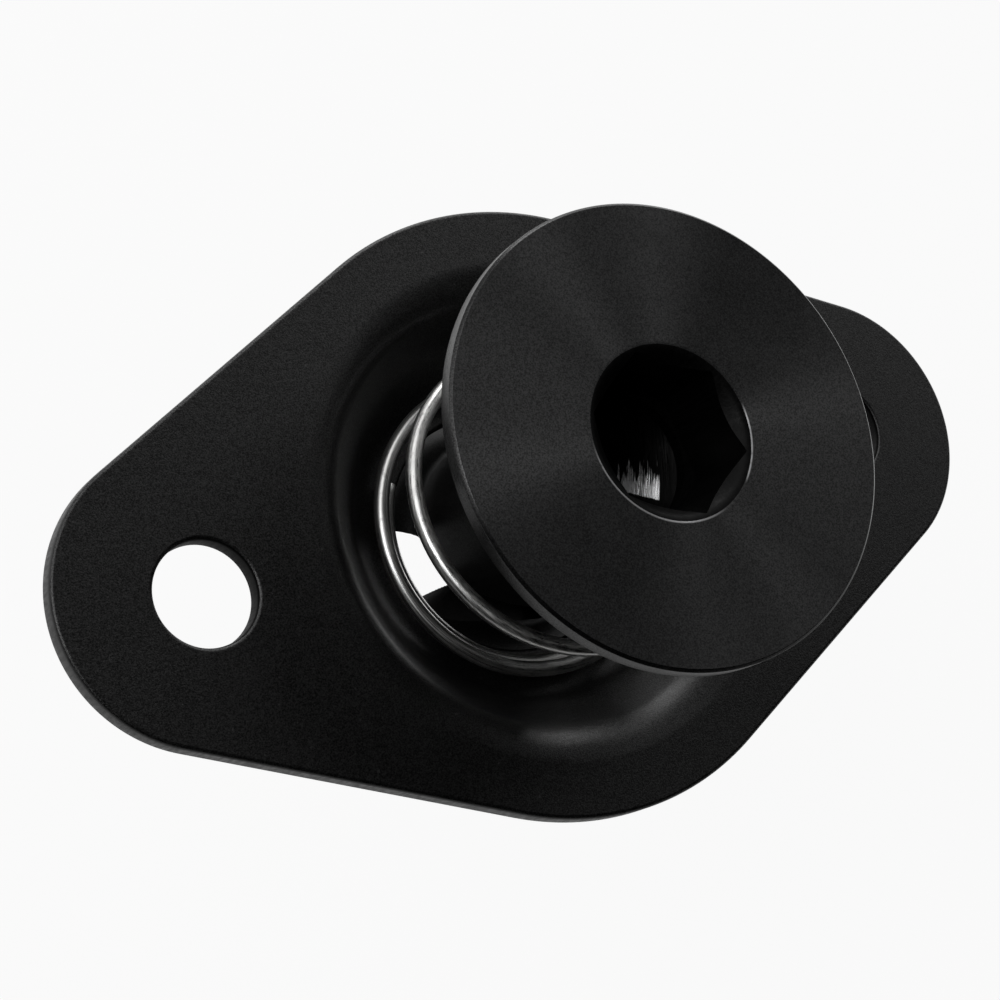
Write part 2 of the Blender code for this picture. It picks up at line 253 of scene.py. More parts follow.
def add_wall(bm, lower, upper):
    count = len(lower)
    for i in range(count):
        j = (i + 1) % count
        bm.faces.new((lower[i], lower[j], upper[j], upper[i]))


def revolve(profile):
    """Spins a profile of (radius, height) points about Z."""
    bm = bmesh.new()
    verts = [bm.verts.new((radius, 0.0, height)) for radius, height in profile]
    edges = [bm.edges.new(pair) for pair in zip(verts, verts[1:])]
    bmesh.ops.spin(bm, geom=verts + edges, cent=(0, 0, 0), axis=(0, 0, 1),
                   angle=2.0 * math.pi, steps=TURN_STEPS, use_merge=True)
    bmesh.ops.remove_doubles(bm, verts=bm.verts, dist=SPIN_MERGE_DISTANCE)
    return bm


def prism(points, bottom, top):
    bm = bmesh.new()
    low = add_ring(bm, points, bottom)
    high = add_ring(bm, points, top)
    add_wall(bm, low, high)
    bm.faces.new(low)
    bm.faces.new(high)
    return bm


def new_object(name, bm, sharp_angle=SHARP_ANGLE):
    bmesh.ops.remove_doubles(bm, verts=bm.verts, dist=MERGE_DISTANCE)
    bmesh.ops.recalc_face_normals(bm, faces=bm.faces)
    mesh = bpy.data.meshes.new(name)
    bm.to_mesh(mesh)
    bm.free()
    mesh.shade_smooth()
    mesh.set_sharp_from_angle(angle=sharp_angle)
    item = bpy.data.objects.new(name, mesh)
    bpy.context.scene.collection.objects.link(item)
    return item


def apply_modifiers(item):
    """Keeps the evaluated mesh and drops the modifiers."""
    depsgraph = bpy.context.evaluated_depsgraph_get()
    mesh = bpy.data.meshes.new_from_object(item.evaluated_get(depsgraph), depsgraph=depsgraph)
    item.modifiers.clear()
    item.data = mesh


def weight_normals(item):
    """Lets the large flat faces keep flat shading beside their rounded edges, and makes the
    normals on level faces exactly upright."""
    modifier = item.modifiers.new("weighted_normals", "WEIGHTED_NORMAL")
    modifier.mode = "FACE_AREA"
    modifier.weight = LARGE_FACE_WEIGHT
    modifier.keep_sharp = True
    apply_modifiers(item)
    mesh = item.data
    level_normals = {}
    for face in mesh.polygons:
        if abs(face.normal.z) > LEVEL_COSINE:
            upright = Vector((0.0, 0.0, math.copysign(1.0, face.normal.z)))
            for vertex in face.vertices:
                level_normals[vertex] = upright
    normals = [corner.vector.copy() for corner in mesh.corner_normals]
    for loop in mesh.loops:
        level = level_normals.get(loop.vertex_index)
        if level is not None and normals[loop.index].dot(level) > SMOOTH_JOIN_COSINE:
            normals[loop.index] = level
    mesh.normals_split_custom_set(normals)


# Plate


def plate_outline(inset):
    """Tangent outline round the middle circle and the two ears, moved in by the inset."""
    half_spacing = HOLE_SPACING / 2
    middle = MIDDLE_RADIUS - inset
    ear = EAR_RADIUS - inset
    tangent = math.acos((MIDDLE_RADIUS - EAR_RADIUS) / half_spacing)
    right = arc((half_spacing, 0.0), ear, -tangent, tangent, EAR_STEPS)
    back = arc((0.0, 0.0), middle, tangent, math.pi - tangent, MIDDLE_STEPS)
    left = arc((-half_spacing, 0.0), ear, math.pi - tangent, math.pi + tangent, EAR_STEPS)
    front = arc((0.0, 0.0), middle, math.pi + tangent, 2.0 * math.pi - tangent, MIDDLE_STEPS)
    return right + back + left + front


def dish_profile(offset):
    """One side of the dish from its mouth in to the stud's hole, square to the sheet by an
    offset from its upper side."""
    turn = DISH_WALL_ANGLE
    upright = math.pi / 2
    bends = DISH_MOUTH_BEND + DISH_FLOOR_BEND
    wall_width = (DISH_DEPTH - bends * (1.0 - math.cos(turn))) / math.tan(turn)
    mouth_centre = (DISH_RADIUS, FLANGE_TOP - DISH_MOUTH_BEND)
    floor_centre = (DISH_RADIUS - bends * math.sin(turn) - wall_width, FLOOR_TOP + DISH_FLOOR_BEND)
    mouth = arc(mouth_centre, DISH_MOUTH_BEND - offset, upright, upright + turn, BEND_STEPS)
    floor = arc(floor_centre, DISH_FLOOR_BEND + offset, turn - upright, -upright, BEND_STEPS)
    return mouth + floor


def edge_levels(top, bottom):
    """(inset, height) from the upper face over a sheared edge to the lower face."""
    quarter = math.pi / 2
    levels = []
    angles = [quarter * i / FILLET_STEPS for i in range(FILLET_STEPS + 1)]
    for angle in angles:
        height = top - DIE_ROLL * (1 - math.cos(angle))
        levels.append((DIE_ROLL * (1 - math.sin(angle)), height))
    for angle in angles:
        height = bottom + BREAK_OUT * (1 - math.sin(angle))
        levels.append((BREAK_OUT * (1 - math.cos(angle)), height))
    return levels


def add_edge_wall(bm, outline_at, top, bottom):
    """A sheared edge along an outline. Returns its rings in the upper and the lower face."""
    rings = [add_ring(bm, outline_at(inset), height) for inset, height in edge_levels(top, bottom)]
    for upper, lower in zip(rings, rings[1:]):
        add_wall(bm, lower, upper)
    return rings[0], rings[-1]


def add_dish(bm):
    """Both sides of the dish and its stud hole. Returns its rings in the flange's two faces."""
    upper = dish_profile(0.0)
    lower = dish_profile(PLATE_THICKNESS)[::-1]
    levels = edge_levels(FLOOR_TOP, FLOOR_UNDERSIDE)
    edge = [(STUD_HOLE_RADIUS + inset, height) for inset, height in levels]
    rings = []
    for radius, height in upper + edge + lower:
        rings.append(add_ring(bm, circle((0.0, 0.0), radius, TURN_STEPS), height))
    for inner, outer in zip(rings, rings[1:]):
        add_wall(bm, inner, outer)
    return rings[0], rings[-1]


def loop_edges(bm, ring):
    return [bm.edges.get((ring[i - 1], ring[i])) for i in range(len(ring))]


def build_plate():
    bm = bmesh.new()
    pairs = [add_dish(bm), add_edge_wall(bm, plate_outline, FLANGE_TOP, FLANGE_BACK)]
    for side in (-1.0, 1.0):
        centre = (side * HOLE_SPACING / 2, 0.0)

        def hole_outline(inset):
            return circle(centre, FIXING_HOLE_RADIUS + inset, HOLE_STEPS)

        pairs.append(add_edge_wall(bm, hole_outline, FLANGE_TOP, FLANGE_BACK))
    for rings in zip(*pairs):
        edges = []
        for ring in rings:
            edges += loop_edges(bm, ring)
        bmesh.ops.triangle_fill(bm, use_beauty=True, use_dissolve=False, edges=edges)
    plate = new_object("plate_pressing", bm)
    weight_normals(plate)
    return plate


# Stud


def rounded_corner(before, corner, after, radius):
    """Replaces a corner of a profile by a small arc."""
    a = (Vector(before) - Vector(corner)).normalized()
    b = (Vector(after) - Vector(corner)).normalized()
    half = a.angle(b) / 2
    reach = radius / math.tan(half)
    centre = Vector(corner) + (a + b).normalized() * (radius / math.sin(half))
    start = Vector(corner) + a * reach - centre
    end = Vector(corner) + b * reach - centre
    points = []
    for i in range(FILLET_STEPS + 1):
        mix = start.lerp(end, i / FILLET_STEPS).normalized() * radius
        points.append(tuple(centre + mix))
    return points


def round_profile(points, radius, corners):
    """A profile with the listed corners rounded."""
    result = []
    for i, point in enumerate(points):
        if i in corners:
            result += rounded_corner(points[i - 1], point, points[i + 1], radius)
        else:
            result.append(point)
    return result


def flare_profile():
    """Section of a flared leg: down its outer side, across its end and up to the bore."""
    bend_width = FLARE_BEND_RADIUS * (1.0 - math.cos(FLARE_ANGLE))
    cone_height = (FLARE_RADIUS - SHANK_RADIUS - bend_width) / math.tan(FLARE_ANGLE)
    bend_height = FLARE_EDGE_HEIGHT + cone_height + FLARE_BEND_RADIUS * math.sin(FLARE_ANGLE)
    centre = (SHANK_RADIUS + FLARE_BEND_RADIUS, bend_height)
    inner_radius = FLARE_BEND_RADIUS + LEG_THICKNESS
    outer = arc(centre, FLARE_BEND_RADIUS, math.pi, math.pi + FLARE_ANGLE, BEND_STEPS // 2)
    inner = arc(centre, inner_radius, math.pi + FLARE_ANGLE, math.pi, BEND_STEPS // 2)
    end_inner = (FLARE_RADIUS - LEG_THICKNESS * math.cos(FLARE_ANGLE), 0.0)
    ends = [outer[-1], (FLARE_RADIUS, FLARE_EDGE_HEIGHT), end_inner, inner[0]]
    return outer[:-1] + round_profile(ends, 2 * EDGE_ROUND, (1, 2)) + inner[1:]


def stud_profile():
    mouth_depth = WORN_MOUTH_RADIUS - PILOT_RADIUS
    fillet_centre = (SHANK_RADIUS + NECK_FILLET, HEAD_BACK - NECK_FILLET)
    neck = arc(fillet_centre, NECK_FILLET, math.pi / 2, math.pi, BEND_STEPS)
    head = [
        (0.0, HEAD_TOP - mouth_depth),
        (PILOT_RADIUS, HEAD_TOP - mouth_depth),
        (WORN_MOUTH_RADIUS, HEAD_TOP),
        (HEAD_RADIUS - FACE_CHAMFER, HEAD_TOP),
        (HEAD_RADIUS, HEAD_TOP - FACE_CHAMFER),
        (HEAD_RADIUS, HEAD_BACK + BACK_CHAMFER),
        (HEAD_RADIUS - BACK_CHAMFER, HEAD_BACK),
        neck[0],
    ]
    bore = [
        (BORE_RADIUS, BORE_DEPTH),
        (0.0, BORE_DEPTH + BORE_RADIUS * math.tan(DRILL_POINT_ANGLE)),
    ]
    mouth = rounded_corner(head[1], head[2], head[3], MOUTH_ROUND)
    rim = round_profile(head, EDGE_ROUND, (3, 4, 5, 6))[3:]
    return head[:2] + mouth + rim + neck[1:] + flare_profile() + bore


def hex_points():
    corner = HEX_ACROSS_FLATS / math.sqrt(3.0)
    return arc((0.0, 0.0), corner, HEX_TURN, HEX_TURN + 2.0 * math.pi, 6)[:-1]


def pilot_profile():
    bottom = HEAD_TOP - HEX_DEPTH - PILOT_EXTRA_DEPTH
    return [
        (0.0, HEAD_TOP - HEX_DEPTH / 2),
        (PILOT_RADIUS, HEAD_TOP - HEX_DEPTH / 2),
        (PILOT_RADIUS, bottom),
        (0.0, bottom - PILOT_RADIUS * math.tan(DRILL_POINT_ANGLE)),
    ]


def walk(stations, length, turn, width, steps):
    """Goes on along an unrolled path by a length, turning and changing its width evenly."""
    along, height, heading, start_width = stations[-1]
    for i in range(1, steps + 1):
        heading += turn / steps / 2
        along += length / steps * math.cos(heading)
        height += length / steps * math.sin(heading)
        heading += turn / steps / 2
        stations.append((along, height, heading, start_width + (width - start_width) * i / steps))


def cam_stations():
    """Middle line of a cam slot unrolled on the shank: (arc length, height, heading, width)."""
    bend_turn = math.pi / 2 - CAM_HELIX_ANGLE
    crest_turn = CAM_HELIX_ANGLE + CAM_DETENT_ANGLE
    bend_along = CAM_BEND_RADIUS * (1.0 - math.sin(CAM_HELIX_ANGLE))
    crest_along = CAM_CREST_RADIUS * (math.sin(CAM_HELIX_ANGLE) + math.sin(CAM_DETENT_ANGLE))
    helix_along = SHANK_RADIUS * CAM_TURN - bend_along - crest_along
    helix_length = helix_along / math.cos(CAM_HELIX_ANGLE)
    stations = [(0.0, -OVERCUT, math.pi / 2, CAM_MOUTH_WIDTH)]
    walk(stations, OVERCUT + CAM_ENTRY_HEIGHT, 0.0, CAM_MOUTH_WIDTH, CAM_ENTRY_STEPS)
    walk(stations, CAM_BEND_RADIUS * bend_turn, -bend_turn, CAM_SLOT_WIDTH, CAM_BEND_STEPS)
    walk(stations, helix_length, 0.0, CAM_SLOT_WIDTH, CAM_HELIX_STEPS)
    walk(stations, CAM_CREST_RADIUS * crest_turn, -crest_turn, CAM_SLOT_WIDTH, CAM_BEND_STEPS)
    end_along, end_height, end_heading, end_width = stations[-1]
    for i in range(1, CAM_BEND_STEPS + 1):
        angle = (i - CAM_END_SHIFT) / CAM_BEND_STEPS * math.pi / 2
        reach = end_width / 2 * math.sin(angle)
        along = end_along + reach * math.cos(end_heading)
        height = end_height + reach * math.sin(end_heading)
        stations.append((along, height, end_heading, end_width * math.cos(angle)))
    return stations


def cam_cutter(direction):
    """A ribbon wrapped on the shank along a cam slot, parallel-sided at the mouth."""
    inner_radius = CAM_CUTTER_INSIDE * BORE_RADIUS
    outer_radius = FLARE_RADIUS + OVERCUT
    corners = ((inner_radius, 1), (inner_radius, -1), (outer_radius, -1), (outer_radius, 1))
    bm = bmesh.new()
    sections = []
    for along, height, heading, width in cam_stations():
        steepness = (heading - CAM_HELIX_ANGLE) / (math.pi / 2 - CAM_HELIX_ANGLE)
        parallel_share = min(max(steepness, 0.0), 1.0)
        section = []
        for radius, side in corners:
            sideways = -side * width / 2 * math.sin(heading)
            upwards = side * width / 2 * math.cos(heading)
            radial = sideways / SHANK_RADIUS
            parallel = math.asin(sideways / radius)
            angle = direction + along / SHANK_RADIUS
            angle += radial + (parallel - radial) * parallel_share
            point = (radius * math.cos(angle), radius * math.sin(angle), height + upwards)
            section.append(bm.verts.new(point))
        sections.append(section)
    for before, after in zip(sections, sections[1:]):
        add_wall(bm, before, after)
    bm.faces.new(sections[0])
    bm.faces.new(sections[-1])
    return bm


def build_stud():
    stud = new_object("turned_stud", revolve(stud_profile()))
    cutters = [
        prism(hex_points(), HEAD_TOP - HEX_DEPTH, HEAD_TOP + OVERCUT),
        revolve(pilot_profile()),
    ]
    cutters += [cam_cutter(direction) for direction in CAM_ENTRY_DIRECTIONS]
    tools = [new_object(f"stud_tool_{i}", bm) for i, bm in enumerate(cutters)]
    for tool in tools:
        modifier = stud.modifiers.new(tool.name, "BOOLEAN")
        modifier.operation = "DIFFERENCE"
        modifier.solver = "EXACT"
        modifier.object = tool
    apply_modifiers(stud)
    for tool in tools:
        bpy.data.objects.remove(tool, do_unlink=True)
    stud.data.shade_smooth()
    stud.data.set_sharp_from_angle(angle=STUD_SHARP_ANGLE)
    weight_normals(stud)
    return stud


# Spring


def smooth(value):
    value = min(max(value, 0.0), 1.0)
    return value * value * (3.0 - 2.0 * value)


def spring_opening(turn):
    """0 in the closed end turns, 1 where the turns stand apart."""
    from_bottom = smooth((turn - SPRING_CLOSED_TURNS) / SPRING_BLEND_TURNS)
    from_top = smooth((SPRING_TURNS - SPRING_TOP_CLOSED_TURNS - turn) / SPRING_BLEND_TURNS)
    return from_bottom * from_top


def closed_step(turn):
    share = turn / SPRING_TURNS
    return SPRING_BOTTOM_STEP + (SPRING_TOP_STEP - SPRING_BOTTOM_STEP) * share


def spring_radius(turn):
    if turn < SPRING_CLOSED_TURNS:
        share = turn / SPRING_CLOSED_TURNS
        return SPRING_SEAT_RADIUS + (SPRING_SECOND_TURN_RADIUS - SPRING_SEAT_RADIUS) * share
    share = (turn - SPRING_CLOSED_TURNS) / (SPRING_TURNS - SPRING_CLOSED_TURNS)
    return SPRING_SECOND_TURN_RADIUS + (SPRING_TOP_RADIUS - SPRING_SECOND_TURN_RADIUS) * share


def spring_points():
    """Middle line of the wire, from the dish's floor up to the head."""
    bottom = FLOOR_TOP + SEAT_GAP + WIRE_RADIUS
    top = HEAD_BACK - SEAT_GAP - WIRE_RADIUS
    count = round(SPRING_TURNS * SPRING_STEPS_PER_TURN)
    step = SPRING_TURNS / count
    middles = [(i + 0.5) * step for i in range(count)]
    closed_rise = sum(closed_step(turn) * step for turn in middles)
    opening = sum(spring_opening(turn) * step for turn in middles)
    extra_pitch = (top - bottom - closed_rise) / opening
    points = []
    height = bottom
    for i in range(count + 1):
        turn = i * step
        angle = SPRING_START_ANGLE + 2.0 * math.pi * turn
        radius = spring_radius(turn)
        points.append(Vector((radius * math.cos(angle), radius * math.sin(angle), height)))
        if i < count:
            height += (closed_step(middles[i]) + extra_pitch * spring_opening(middles[i])) * step
    return points


def add_wire_section(bm, centre, outward, upward, radius):
    section = []
    for k in range(WIRE_SIDES):
        angle = 2.0 * math.pi * k / WIRE_SIDES
        spoke = outward * math.cos(angle) + upward * math.sin(angle)
        section.append(bm.verts.new(centre + radius * spoke))
    return section


def build_spring():
    """Round wire swept along the coil, with a cropped, slightly chamfered end at each side."""
    points = spring_points()
    end_radius = WIRE_RADIUS - WIRE_END_CHAMFER
    bm = bmesh.new()
    sections = []
    for i, point in enumerate(points):
        ahead = points[min(i + 1, len(points) - 1)] - points[max(i - 1, 0)]
        ahead.normalize()
        outward = Vector((point.x, point.y, 0.0)).normalized()
        upward = ahead.cross(outward).normalized()
        outward = upward.cross(ahead).normalized()
        if i == 0:
            back = point - ahead * WIRE_END_CHAMFER
            sections.append(add_wire_section(bm, back, outward, upward, end_radius))
        sections.append(add_wire_section(bm, point, outward, upward, WIRE_RADIUS))
        if i == len(points) - 1:
            front = point + ahead * WIRE_END_CHAMFER
            sections.append(add_wire_section(bm, front, outward, upward, end_radius))
    for before, after in zip(sections, sections[1:]):
        add_wall(bm, before, after)
    bm.faces.new(sections[0])
    bm.faces.new(sections[-1])
    return new_object("coiled_wire", bm, sharp_angle=WIRE_SHARP_ANGLE)


# Material nodes


class Nodes:
    """Short calls for the node tree of one material or world."""

    def __init__(self, owner):
        owner.use_nodes = True
        self.tree = owner.node_tree

    def add(self, kind, **settings):
        node = self.tree.nodes.new(kind)
        for name, value in settings.items():
            setattr(node, name, value)
        return node

    def link(self, source, target):
        self.tree.links.new(source, target)

    def put(self, value, socket):
        """Sets a socket to a plain value, or links it to another socket."""
        if isinstance(value, bpy.types.NodeSocket):
            self.link(value, socket)
        else:
            socket.default_value = value

    def math(self, operation, a, b=0.0):
        node = self.add("ShaderNodeMath", operation=operation)
        self.put(a, node.inputs[0])
        self.put(b, node.inputs[1])
        return node.outputs[0]

    def plus(self, a, b):
        return self.math("ADD", a, b)

    def times(self, a, b):
        return self.math("MULTIPLY", a, b)

    def weighted(self, a, a_share, b, b_share):
        return self.plus(self.times(a, a_share), self.times(b, b_share))

    def position(self):
        """The point on the piece, in millimetres of its own frame."""
        place = self.add("ShaderNodeTexCoord").outputs["Object"]
        scale = self.add("ShaderNodeVectorMath", operation="SCALE")
        self.link(place, scale.inputs[0])
        scale.inputs["Scale"].default_value = MILLIMETRES
        return scale.outputs[0]

    def separate(self, vector):
        node = self.add("ShaderNodeSeparateXYZ")
        self.link(vector, node.inputs[0])
        return node.outputs

    def combine(self, x, y, z):
        node = self.add("ShaderNodeCombineXYZ")
        for value, socket in zip((x, y, z), node.inputs):
            self.put(value, socket)
        return node.outputs[0]

    def from_axis(self, x, y):
        """Distance from the Z axis."""
        return self.math("SQRT", self.plus(self.times(x, x), self.times(y, y)))

    def towards(self, x, y, heading):
        """How far a point lies along a level direction, given by its X and Y shares."""
        return self.weighted(x, heading[0], y, heading[1])

    def noise(self, vector, scale, detail=2.0, roughness=0.5):
        node = self.add("ShaderNodeTexNoise", noise_dimensions="3D")
        self.put(vector, node.inputs["Vector"])
        node.inputs["Scale"].default_value = scale
        node.inputs["Detail"].default_value = detail
        node.inputs["Roughness"].default_value = roughness
        return node.outputs["Fac"]

    def bands(self, value, scale, detail, roughness):
        """Noise along one value only."""
        node = self.add("ShaderNodeTexNoise", noise_dimensions="1D")
        self.put(value, node.inputs["W"])
        node.inputs["Scale"].default_value = scale
        node.inputs["Detail"].default_value = detail
        node.inputs["Roughness"].default_value = roughness
        return node.outputs["Fac"]

    def ramp(self, value, low, high, from_value=0.0, to_value=1.0):
        """A smooth step from one value to another between a low and a high input."""
        node = self.add("ShaderNodeMapRange", interpolation_type="SMOOTHSTEP")
        self.put(value, node.inputs["Value"])
        node.inputs["From Min"].default_value = low
        node.inputs["From Max"].default_value = high
        node.inputs["To Min"].default_value = from_value
        node.inputs["To Max"].default_value = to_value
        return node.outputs["Result"]

    def mix_colour(self, share, a, b):
        node = self.add("ShaderNodeMix", data_type="RGBA")
        self.put(share, node.inputs["Factor"])
        self.put((*a, 1.0) if isinstance(a, tuple) else a, node.inputs[6])
        self.put((*b, 1.0) if isinstance(b, tuple) else b, node.inputs[7])
        return node.outputs[2]

    def bump(self, height, distance, strength):
        node = self.add("ShaderNodeBump")
        node.inputs["Strength"].default_value = strength
        node.inputs["Distance"].default_value = distance
        self.link(height, node.inputs["Height"])
        return node.outputs["Normal"]


def new_material(name):
    material = bpy.data.materials.new(name)
    nodes = Nodes(material)
    shader = nodes.tree.nodes["Principled BSDF"]
    return material, nodes, shader


# Finishes


def coated_steel():
    """Satin black coat on rolled sheet: a fine grain, faint rolling streaks and a few specks."""
    material, nodes, shader = new_material("coated_steel")
    place = nodes.position()
    x, y, z = nodes.separate(place)
    grain = nodes.noise(place, FINE_GRAIN, detail=2.0, roughness=0.6)
    mottle = nodes.noise(place, 0.35, detail=3.0)
    rolled = nodes.combine(nodes.times(x, 0.4), nodes.times(y, 3.0), z)
    streaks = nodes.noise(rolled, 2.2)
    specks = nodes.ramp(nodes.noise(place, 3.1, detail=1.0), 0.735, 0.765)
    tone = nodes.weighted(grain, 0.6, mottle, 0.4)
    colour = nodes.mix_colour(nodes.ramp(tone, 0.35, 0.65), *SHEET_COAT)
    colour = nodes.mix_colour(nodes.times(specks, 0.5), colour, SPECK)
    nodes.link(colour, shader.inputs["Base Color"])
    grain_rough = nodes.ramp(grain, 0.25, 0.75, 0.33, 0.44)
    streak_rough = nodes.ramp(streaks, 0.3, 0.7, -0.02, 0.03)
    nodes.link(nodes.plus(grain_rough, streak_rough), shader.inputs["Roughness"])
    gloss = nodes.ramp(grain, 0.25, 0.75, 0.22, 0.78)
    nodes.link(gloss, shader.inputs["Specular IOR Level"])
    shader.inputs["IOR"].default_value = SHEET_COAT_IOR
    shader.inputs["Coat Weight"].default_value = 0.25
    shader.inputs["Coat Roughness"].default_value = 0.26
    shader.inputs["Coat IOR"].default_value = 1.42
    height = nodes.weighted(grain, 0.8, streaks, 0.2)
    nodes.link(nodes.bump(height, 0.00004, 0.6), shader.inputs["Normal"])
    return material


def sheared_edge():
    """Blanked edge of the plate under a thinner coat, with upright shear marks and a paler
    burnished land above the break."""
    material, nodes, shader = new_material("sheared_edge")
    x, y, z = nodes.separate(nodes.position())
    marks = nodes.noise(nodes.combine(x, y, nodes.times(z, 0.25)), 5.0, detail=2.0)
    land = nodes.ramp(z, EDGE_LAND_LOW * MILLIMETRES, EDGE_LAND_HIGH * MILLIMETRES)
    colour = nodes.mix_colour(nodes.ramp(marks, 0.3, 0.7), *EDGE_COAT)
    colour = nodes.mix_colour(nodes.times(land, 0.5), colour, EDGE_LAND)
    nodes.link(colour, shader.inputs["Base Color"])
    nodes.link(nodes.ramp(marks, 0.3, 0.7, 0.30, 0.48), shader.inputs["Roughness"])
    shader.inputs["IOR"].default_value = SHEET_COAT_IOR
    nodes.link(nodes.bump(marks, 0.00003, 0.4), shader.inputs["Normal"])
    return material


def worn_lip_and_glint(nodes, place):
    """1 on two sides of the socket's rounded mouth: bright metal of key wear, kept to the sides
    where it makes a painted highlight.
    """
    x, y, z = nodes.separate(place)
    from_lip = nodes.math("SUBTRACT", nodes.from_axis(x, y), WORN_AND_GLINT_LIP_RADIUS * MILLIMETRES)
    lip = nodes.ramp(nodes.math("ABSOLUTE", from_lip), 0.25, 0.17)
    face = HEAD_TOP * MILLIMETRES
    near_face = nodes.ramp(z, face - 0.35, face - 0.25)
    long_side = nodes.ramp(nodes.towards(x, y, GLINT_LONG_SIDE), 2.4, 4.4)
    short_side = nodes.ramp(nodes.towards(x, y, GLINT_SHORT_SIDE), 4.3, 4.6)
    sides = nodes.math("MAXIMUM", long_side, short_side)
    patches = nodes.ramp(nodes.noise(place, 1.3, detail=3.0), 0.30, 0.44)
    return nodes.times(nodes.times(nodes.times(lip, near_face), sides), patches)


def turned_black(name, level, roughness, stretch):
    """Black anodised turned metal: fine rings round the axis that stretch the highlights.
    A lower level makes its colour and its shine weaker."""
    material, nodes, shader = new_material(name)
    place = nodes.position()
    x, y, z = nodes.separate(place)
    across = nodes.plus(nodes.from_axis(x, y), nodes.times(z, TURNED_HEIGHT_SHARE))
    rings = nodes.bands(across, 9.0, detail=4.0, roughness=0.7)
    feed = nodes.math("SINE", nodes.times(across, 2.0 * math.pi / TOOL_FEED))
    grain = nodes.noise(place, FINE_GRAIN, detail=2.0, roughness=0.6)
    cloud = nodes.noise(place, 0.5, detail=2.0)
    tone = nodes.weighted(rings, 0.2, grain, 0.8)
    dark, pale = (tuple(level * part for part in colour) for colour in TURNED_COAT)
    colour = nodes.mix_colour(nodes.ramp(tone, 0.34, 0.66), dark, pale)
    # Bright metal on the lip: key wear and a painted highlight.
    worn_and_glint = worn_lip_and_glint(nodes, place)
    nodes.link(nodes.mix_colour(worn_and_glint, colour, WORN_METAL_AND_GLINT), shader.inputs["Base Color"])
    nodes.link(worn_and_glint, shader.inputs["Metallic"])
    ring_rough = nodes.ramp(rings, 0.3, 0.7, roughness - 0.01, roughness + 0.02)
    cloud_rough = nodes.ramp(cloud, 0.3, 0.7, -0.02, 0.03)
    nodes.link(nodes.plus(ring_rough, cloud_rough), shader.inputs["Roughness"])
    gloss = nodes.ramp(grain, 0.25, 0.75, 0.25 * level, 0.70 * level)
    nodes.link(gloss, shader.inputs["Specular IOR Level"])
    shader.inputs["IOR"].default_value = ANODISED_IOR
    shader.inputs["Anisotropic"].default_value = stretch
    shader.inputs["Anisotropic Rotation"].default_value = 0.25
    tangent = nodes.add("ShaderNodeTangent", direction_type="RADIAL", axis="Z")
    nodes.link(tangent.outputs[0], shader.inputs["Tangent"])
    height = nodes.weighted(rings, 0.12, feed, 0.04)
    height = nodes.plus(height, nodes.times(grain, 0.6))
    nodes.link(nodes.bump(height, 0.000012, 0.4), shader.inputs["Normal"])
    return material


def shaded_cut_black(name, gloss):
    """Dull coat in the socket, the slots and the holes, over the lines that the tool left.
    It is darker and duller than the outer faces and edges: painted shade in these recesses.
    """
    material, nodes, shader = new_material(name)
    place = nodes.position()
    x, y, z = nodes.separate(place)
    upright = nodes.combine(x, y, nodes.times(z, 0.04))
    lines = nodes.noise(upright, 6.0, detail=3.0, roughness=0.7)
    grain = nodes.noise(place, CUT_GRAIN, detail=3.0)
    colour = nodes.mix_colour(nodes.ramp(lines, 0.35, 0.7), *SHADED_CUT_COAT)
    nodes.link(colour, shader.inputs["Base Color"])
    line_rough = nodes.ramp(lines, 0.3, 0.7, 0.38, 0.52)
    grain_rough = nodes.ramp(grain, 0.3, 0.7, -0.03, 0.03)
    nodes.link(nodes.plus(line_rough, grain_rough), shader.inputs["Roughness"])
    shader.inputs["IOR"].default_value = CUT_COAT_IOR
    shader.inputs["Specular IOR Level"].default_value = gloss
    height = nodes.weighted(lines, 0.6, grain, 0.4)
    nodes.link(nodes.bump(height, 0.00003, 0.5), shader.inputs["Normal"])
    return material


def glint_patch(nodes, along, across, bent):
    """1 on the ragged patch of the socket's bottom that carries a painted highlight of bright
    metal streaks.
    """
    ragged = nodes.noise(nodes.combine(bent, 0.0, 0.0), 4.0, detail=3.0, roughness=0.7)
    far_end = nodes.plus(along, nodes.times(ragged, 1.6))
    near_end = nodes.plus(along, nodes.times(across, 0.33))
    near_end = nodes.plus(near_end, nodes.times(ragged, 0.2))
    sides = nodes.times(nodes.ramp(bent, 0.85, 1.00), nodes.ramp(bent, 3.02, 2.94))
    patch = nodes.times(sides, nodes.ramp(far_end, 1.75, 1.25))
    return nodes.times(patch, nodes.ramp(near_end, -0.46, -0.38))


def shade_and_glint_bottom():
    """Drilled bottom of the socket: the dull coat, darker as painted shade, with a painted
    highlight of bright metal streaks on one patch. The streaks bend a little, and thin out away
    from the patch's near end."""
    material, nodes, shader = new_material("shade_and_glint_bottom")
    place = nodes.position()
    x, y, z = nodes.separate(place)
    across = nodes.towards(x, y, GLINT_ACROSS)
    along = nodes.towards(x, y, GLINT_ALONG)
    bent = nodes.plus(across, nodes.times(nodes.times(along, along), 0.06))
    lengthways = nodes.combine(bent, nodes.times(along, 0.06), 0.0)
    streaks = nodes.noise(lengthways, 5.5, detail=3.0, roughness=0.7)
    depth = nodes.plus(streaks, nodes.ramp(along, 0.7, -0.9, 0.0, 0.20))
    patch = glint_patch(nodes, along, across, bent)
    glint = nodes.times(patch, nodes.ramp(depth, 0.55, 0.66))
    grain = nodes.noise(place, CUT_GRAIN, detail=3.0)
    coat = nodes.mix_colour(grain, *SHADED_SOCKET_BOTTOM_COAT)
    nodes.link(nodes.mix_colour(glint, coat, GLINT_METAL), shader.inputs["Base Color"])
    nodes.link(glint, shader.inputs["Metallic"])
    nodes.link(nodes.ramp(streaks, 0.3, 0.7, 0.40, 0.22), shader.inputs["Roughness"])
    shader.inputs["IOR"].default_value = CUT_COAT_IOR
    shader.inputs["Specular IOR Level"].default_value = 0.10
    nodes.link(nodes.bump(streaks, 0.00004, 0.6), shader.inputs["Normal"])
    return material


